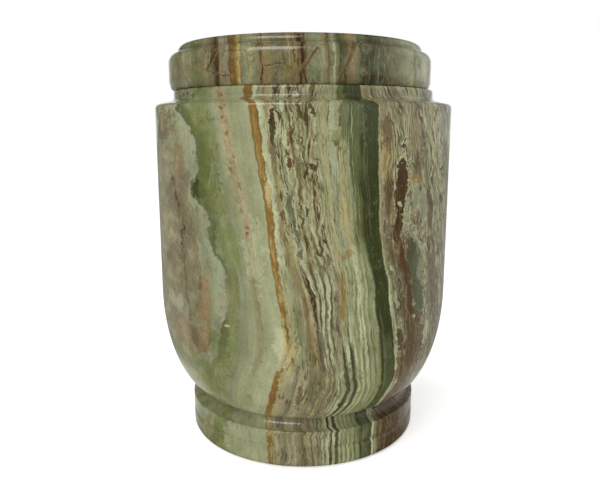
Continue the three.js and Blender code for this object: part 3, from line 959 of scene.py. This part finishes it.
class LidStone(StoneBench):
    """The lid's own slab of the same onyx, browner, with its layers nearly square to the front."""

    def __init__(self, palette):
        super().__init__("lid_onyx", palette)
        self.find_layers()
        self.colour = self.layers(self.layer, LID_LAYERS)
        self.lay_clouds()
        self.lay_cracks()
        self.lay_fine_layers()

    def find_layers(self):
        """The layer of a place, which waves and ripples, and folds towards the back."""
        sideways = self.x - LID_OFFSET / MM
        depth = self.y + ((LID_RADIUS / MM) ** 2 - sideways * sideways).most(0.0) ** 0.5
        self.across = sideways + depth * LID_SLANT
        wave = self.sway(self.streaks(self.across / 22, 26, 12), 1.1)
        ripple = self.sway(self.streaks(self.across / 7, 9, 4.5, 3.0), 0.9)
        jag = self.sway(self.streaks(self.across / 3, 4, 1.8, 3.0, 0.6), 0.5)
        fold = self.sway(self.noise(self.across / 70, self.y / 60, 0.0), 14) * self.step(self.y, -60, 20)
        self.layer = self.across + wave + ripple + jag + fold

    def lay_clouds(self):
        """Clouds all over, and blots in the dark layers at the right."""
        self.lay(self.blots(8, 8, 0.5, 0.66, 5.0) * 0.45, "tan")
        self.lay(self.blots(7, 9, 0.5, 0.66, 13.0) * 0.4, "grey_sage")
        dark = self.band(self.layer, 30.0, 46.5, 0.8)
        self.lay(dark * self.blots(3.5, 4.5, 0.5, 0.58, 21.0) * 0.6, "umber")
        self.lay(dark * self.blots(4.0, 3.5, 0.56, 0.64, 27.0) * 0.5, "taupe")

    def apart(self, across, rise, x0, z0, x1, z1):
        """How far a place lies from a line between two points."""
        run, climb = x1 - x0, z1 - z0
        share = ((across - x0) * run + (rise - z0) * climb) / (run * run + climb * climb)
        share = share.most(0.0).least(1.0)
        side = across - x0 - share * run
        up = rise - z0 - share * climb
        return (side * side + up * up) ** 0.5

    def lay_cracks(self):
        """The cracks across the front, and a web of thin brown ones, which shows mostly behind."""
        rise = self.z - BLOCK_HEIGHT
        bent = self.sway(self.lumps(5, 5, 5.0, 0.65), 2.0)
        front = self.step(self.y, 0, -10)
        for name, width, *ends in LID_CRACKS:
            apart = self.apart(self.across + bent, rise + bent, *ends)
            self.lay(self.step(apart, width + 1.2, width) * front * 0.35, "tan")
            self.lay(self.step(apart, width, width * 0.6) * front * 0.85, name)
        web = self.add("ShaderNodeTexVoronoi", {"feature": "DISTANCE_TO_EDGE"}, {
            "Vector": self.vector(self.x + bent, self.y + bent, self.z * 0.6 - bent), "Scale": 1 / 19})
        shows = self.step(self.lumps(11, 9, 3.0), 0.46, 0.58) * (1.0 - front * 0.6)
        self.web = self.step(web, 0.02, 0.005) * shows
        self.lay(self.web * 0.75, "umber")

    def lay_fine_layers(self):
        """Fine layering, cloudiness and grain, and the open seams between the layers."""
        fine = self.streaks(self.layer * 0.8, 50, 40, 4.0, 0.7)
        cloud = self.lumps(8, 9, 4.0, 0.6)
        grain = self.lumps(1.2, 1.5, 3.0, 0.65)
        self.lay(self.step(fine, 0.57, 0.7) * 0.45, "cream")
        self.lay(self.step(fine, 0.44, 0.3) * 0.55, "deep_olive")
        light = (cloud - 0.5) * 1.2 + (grain - 0.5) * 0.9 + 0.89
        self.colour = self.shade(self.colour, light)
        parting = abs(self.streaks(self.layer * 0.45, 40, 22) - 0.5)
        broken = self.step(self.streaks(self.layer / 4, 12, 6, 3.0), 0.47, 0.6)
        cracks = (self.step(parting, 0.03, 0.0) * broken).most(self.web)
        self.lay(cracks * 0.6, "umber")
        self.polish(cloud, cracks)


# Turning: a Geometry Nodes tree that sweeps an outline about the axis

def turning_tree():
    """Builds the tree: a grid whose rows take the outline's points and whose columns go round the axis."""
    tree = bpy.data.node_groups.new("turned_stone", "GeometryNodeTree")
    inputs = {"Geometry": "Geometry", "Sides": "Int", "Axis offset": "Float", "Wander": "Float",
              "Stone": "Material"}
    for name, kind in inputs.items():
        tree.interface.new_socket(name, in_out="INPUT", socket_type=f"NodeSocket{kind}")
    tree.interface.new_socket("Geometry", in_out="OUTPUT", socket_type="NodeSocketGeometry")
    b = Bench(tree)
    entry = tree.nodes.new("NodeGroupInput")
    outline, sides, offset, wander, stone = (Wire(b, entry.outputs[i]) for i in range(5))
    points = b.add("GeometryNodeAttributeDomainSize", {"component": "MESH"}, {0: outline})
    columns = sides + 1
    grid = b.add("GeometryNodeMeshGrid", None, {"Vertices X": points, "Vertices Y": columns})
    index = b.add("GeometryNodeInputIndex")
    row = b.maths("FLOOR", (index + 0.5) / columns)
    angle = (row * columns - index) * math.tau / sides
    place = b.add("GeometryNodeInputPosition")
    sampled = b.add("GeometryNodeSampleIndex", {"data_type": "FLOAT_VECTOR", "domain": "POINT"},
                    {"Geometry": outline, "Value": place, "Index": row})
    radius = b.add("ShaderNodeSeparateXYZ", None, {0: sampled}, 0)
    height = b.add("ShaderNodeSeparateXYZ", None, {0: sampled}, 2)
    cosine = b.maths("COSINE", angle)
    sine = b.maths("SINE", angle)
    waves_per_metre = 14
    spot = b.add("ShaderNodeCombineXYZ", None, {0: cosine, 1: sine, 2: height * waves_per_metre})
    drift = b.add("ShaderNodeTexNoise", {"noise_dimensions": "4D", "normalize": True},
                  {"Vector": spot, "W": 3.7, "Scale": 0.9, "Detail": 1.0})
    radius = radius * ((drift - 0.5) * wander * 2.0 + 1.0)
    swept = b.add("ShaderNodeCombineXYZ", None, {0: radius * cosine + offset, 1: radius * sine, 2: height})
    moved = b.add("GeometryNodeSetPosition", None, {"Geometry": grid, "Position": swept})
    closed = b.add("GeometryNodeMergeByDistance", None, {"Geometry": moved, "Distance": 1e-6})
    smooth = b.add("GeometryNodeSetShadeSmooth", None, {"Geometry": closed, "Shade Smooth": True})
    real = b.add("GeometryNodeRealizeInstances", None, {"Geometry": smooth})
    finished = b.add("GeometryNodeSetMaterial", None, {"Geometry": real, "Material": stone})
    leave = tree.nodes.new("NodeGroupOutput")
    tree.links.new(finished.socket, leave.inputs[0])
    return tree


def placed(name, data):
    """A new object in the scene."""
    thing = bpy.data.objects.new(name, data)
    bpy.context.collection.objects.link(thing)
    return thing


def turn_piece(name, outline, sides, offset, wander, stone):
    """Sweeps an outline of radii and heights about an upright axis, as a plain closed mesh."""
    profile = bpy.data.meshes.new(f"{name}_outline")
    edges = [(i, i + 1) for i in range(len(outline) - 1)]
    profile.from_pydata([(r, 0.0, z) for r, z in outline], edges, [])
    draft = placed(f"{name}_draft", profile)
    tree = turning_tree()
    modifier = draft.modifiers.new("Turning", "NODES")
    modifier.node_group = tree
    chosen = {"Sides": sides, "Axis offset": offset, "Wander": wander, "Stone": stone}
    for item in tree.interface.items_tree:
        if item.in_out == "INPUT" and item.name in chosen:
            modifier[item.identifier] = chosen[item.name]
    graph = bpy.context.evaluated_depsgraph_get()
    mesh = bpy.data.meshes.new_from_object(draft.evaluated_get(graph), depsgraph=graph)
    mesh.name = name
    piece = placed(name, mesh)
    bpy.data.objects.remove(draft)
    bpy.data.node_groups.remove(tree)
    check_closed(mesh)
    return piece


def check_closed(mesh):
    """Stops unless the mesh is one closed skin whose faces point outwards."""
    mesh.calc_loop_triangles()
    volume = 0.0
    for triangle in mesh.loop_triangles:
        first, second, third = (mesh.vertices[i].co for i in triangle.vertices)
        volume += first.dot(second.cross(third)) / 6
    uses = {}
    for polygon in mesh.polygons:
        for key in polygon.edge_keys:
            uses[key] = uses.get(key, 0) + 1
    loose = sum(count != 2 for count in uses.values())
    if volume <= 0 or loose:
        raise RuntimeError(f"{mesh.name}: volume {volume:.6f}, {loose} open edges")


def wear(piece, node):
    """Puts a finished piece in the place of its node."""
    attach(piece, "root")
    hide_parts(node)


def palette_of(colours):
    """The stone's colours by name, each one opaque."""
    return {name: (*getattr(colours, name), 1.0) for name in StoneColours.__annotations__}


# The stage

def floor_material(colour):
    """A pale even floor that the polished stone reflects only where it lies beside and behind the urn."""
    material = bpy.data.materials.new("floor")
    b = Bench(emptied(material))
    reflected = b.add("ShaderNodeLightPath", output="Is Glossy Ray")
    place = b.add("ShaderNodeTexCoord", output="Object")
    x, y = (b.add("ShaderNodeSeparateXYZ", None, {0: place}, i) for i in range(2))
    apart = (x * x + y * y) ** 0.5
    near = b.step(y, -0.05, 0.0) * (b.step(apart, 0.16, 0.11) * 0.4 + b.step(x, 0.05, 0.25) * 0.1 + 0.18)
    share = 1.0 - reflected * (1.0 - near)
    glow = b.step(apart, 0.8, 2.4) * 0.6 + 1.0
    surface = b.add("ShaderNodeBsdfPrincipled", None, {
        "Base Color": b.shade(colour, share),
        "Roughness": 0.8,
        "Emission Color": b.shade((1.0, 1.0, 1.0), share * glow),
        "Emission Strength": 0.45,
    })
    b.add("ShaderNodeOutputMaterial", None, {"Surface": surface})
    return material


def add_floor(colour):
    """A pale round floor, wide enough to run out of sight."""
    reach = 6.0
    sides = 64
    mesh = bpy.data.meshes.new("floor")
    rim = [(reach * math.cos(math.tau * i / sides), reach * math.sin(math.tau * i / sides), 0.0)
           for i in range(sides)]
    mesh.from_pydata(rim, [], [list(range(sides))])
    mesh.materials.append(floor_material(colour))
    placed("floor", mesh)


# The soft lights: name, place and size in metres, share of the key power, and if the polish mirrors them
LIGHTS = (
    ("key_light", (-0.5, -1.1, 1.3), (1.0, 0.8), 2.2, True),
    ("left_light", (-1.1, 0.5, 0.7), (0.5, 1.0), 0.9, False),
    ("right_light", (1.2, 0.3, 0.6), (0.5, 1.0), 0.6, False),
)
LIT_PLACE = Vector((0.0, 0.0, 0.12))


def add_soft_light(name, place, size, power, mirrored):
    """A large rectangular light that faces the urn, and that its polish may mirror or not."""
    lamp = bpy.data.lights.new(name, "AREA")
    lamp.shape = "RECTANGLE"
    lamp.size, lamp.size_y = size
    lamp.energy = power
    holder = placed(name, lamp)
    holder.location = place
    holder.visible_glossy = mirrored
    holder.rotation_euler = (LIT_PLACE - Vector(place)).to_track_quat("-Z", "Y").to_euler()


def add_room(strength):
    """A white room that is dim all round but behind the urn, where the camera sees it white."""
    world = bpy.data.worlds.new("room")
    b = Bench(emptied(world))
    seen = b.add("ShaderNodeLightPath", output="Is Camera Ray")
    reflected = b.add("ShaderNodeLightPath", output="Is Glossy Ray")
    way = b.add("ShaderNodeTexCoord", output="Generated")
    side, depth = (b.add("ShaderNodeSeparateXYZ", None, {0: way}, i) for i in range(2))
    right = b.step(side, 0.3, 0.8) * (b.step(depth, 0.2, 0.6) * 0.3 + 0.5)
    shine = b.step(depth, 0.84, 0.93) * 0.84 + right + 0.08
    fill = b.step(depth, 0.45, 0.8) * (1.0 - strength) + strength
    light = fill + reflected * (shine - fill)
    light = light + seen * (1.0 - light)
    room = b.add("ShaderNodeBackground", None, {"Color": (1.0, 1.0, 1.0, 1.0), "Strength": light})
    b.add("ShaderNodeOutputWorld", None, {"Surface": room})
    bpy.context.scene.world = world


def add_camera(look):
    """The photograph's view: close, a little above the lid's edge, looking slightly down."""
    lens = bpy.data.cameras.new("camera")
    lens.lens = look.lens
    lens.sensor_width = 36.0
    lens.clip_start = 0.01
    camera = placed("camera", lens)
    camera.location = (look.camera_side, -look.camera_distance, look.camera_height)
    camera.rotation_euler = (QUARTER - look.camera_pitch, 0.0, 0.0)
    bpy.context.scene.camera = camera


# Operators

class URN_OT_vessel(Operator):
    """Turn the vessel: foot, bowl, wall, shoulder, neck and hollow in one piece"""
    bl_idname = "urn.vessel"
    bl_label = "Turn the Vessel"

    def execute(self, context):
        sizes = context.scene.urn_vessel
        stone = VesselStone(vessel_outside(sizes), palette_of(context.scene.urn_colours)).material
        piece = turn_piece("vessel", vessel_outline(sizes), sizes.sides, 0.0, sizes.wander, stone)
        wear(piece, "urn_body")
        return {"FINISHED"}


class URN_OT_lid(Operator):
    """Turn the stepped lid with its spigot, resting on the rim"""
    bl_idname = "urn.lid"
    bl_label = "Turn the Lid"

    def execute(self, context):
        sizes = context.scene.urn_lid
        stone = LidStone(palette_of(context.scene.urn_colours)).material
        outline = lid_outline(context.scene.urn_vessel, sizes)
        piece = turn_piece("stepped_lid", outline, sizes.sides, LID_OFFSET, sizes.wander, stone)
        wear(piece, "lid")
        return {"FINISHED"}


class URN_OT_stage(Operator):
    """Set the floor, the soft lights, the room and the camera"""
    bl_idname = "urn.stage"
    bl_label = "Set the Stage"

    def execute(self, context):
        look = context.scene.urn_look
        context.scene.view_settings.view_transform = "Standard"
        add_floor(tuple(look.floor_colour))
        add_room(look.room_light)
        for name, place, size, share, mirrored in LIGHTS:
            add_soft_light(name, place, size, look.key_power * share, mirrored)
        add_camera(look)
        return {"FINISHED"}


class URN_PT_panel(Panel):
    """The urn's steps, sizes and colours"""
    bl_idname = "URN_PT_panel"
    bl_label = "Banded Onyx Urn"
    bl_space_type = "VIEW_3D"
    bl_region_type = "UI"
    bl_category = "Urn"

    def draw(self, context):
        layout = self.layout
        for step in (URN_OT_vessel, URN_OT_lid, URN_OT_stage):
            layout.operator(step.bl_idname)
        for name, group in SETTINGS.items():
            box = layout.box()
            box.label(text=group.__name__)
            for key in group.__annotations__:
                box.prop(getattr(context.scene, name), key)


SETTINGS = {
    "urn_vessel": VesselSizes,
    "urn_lid": LidSizes,
    "urn_colours": StoneColours,
    "urn_look": StudioLook,
}
CLASSES = (*SETTINGS.values(), URN_OT_vessel, URN_OT_lid, URN_OT_stage, URN_PT_panel)


def register():
    for cls in CLASSES:
        bpy.utils.register_class(cls)
    for name, group in SETTINGS.items():
        setattr(bpy.types.Scene, name, PointerProperty(type=group))


def unregister():
    for name in SETTINGS:
        delattr(bpy.types.Scene, name)
    for cls in reversed(CLASSES):
        bpy.utils.unregister_class(cls)


def main():
    register()
    bpy.ops.urn.vessel()
    bpy.ops.urn.lid()
    bpy.ops.urn.stage()


if __name__ == "__main__":
    main()
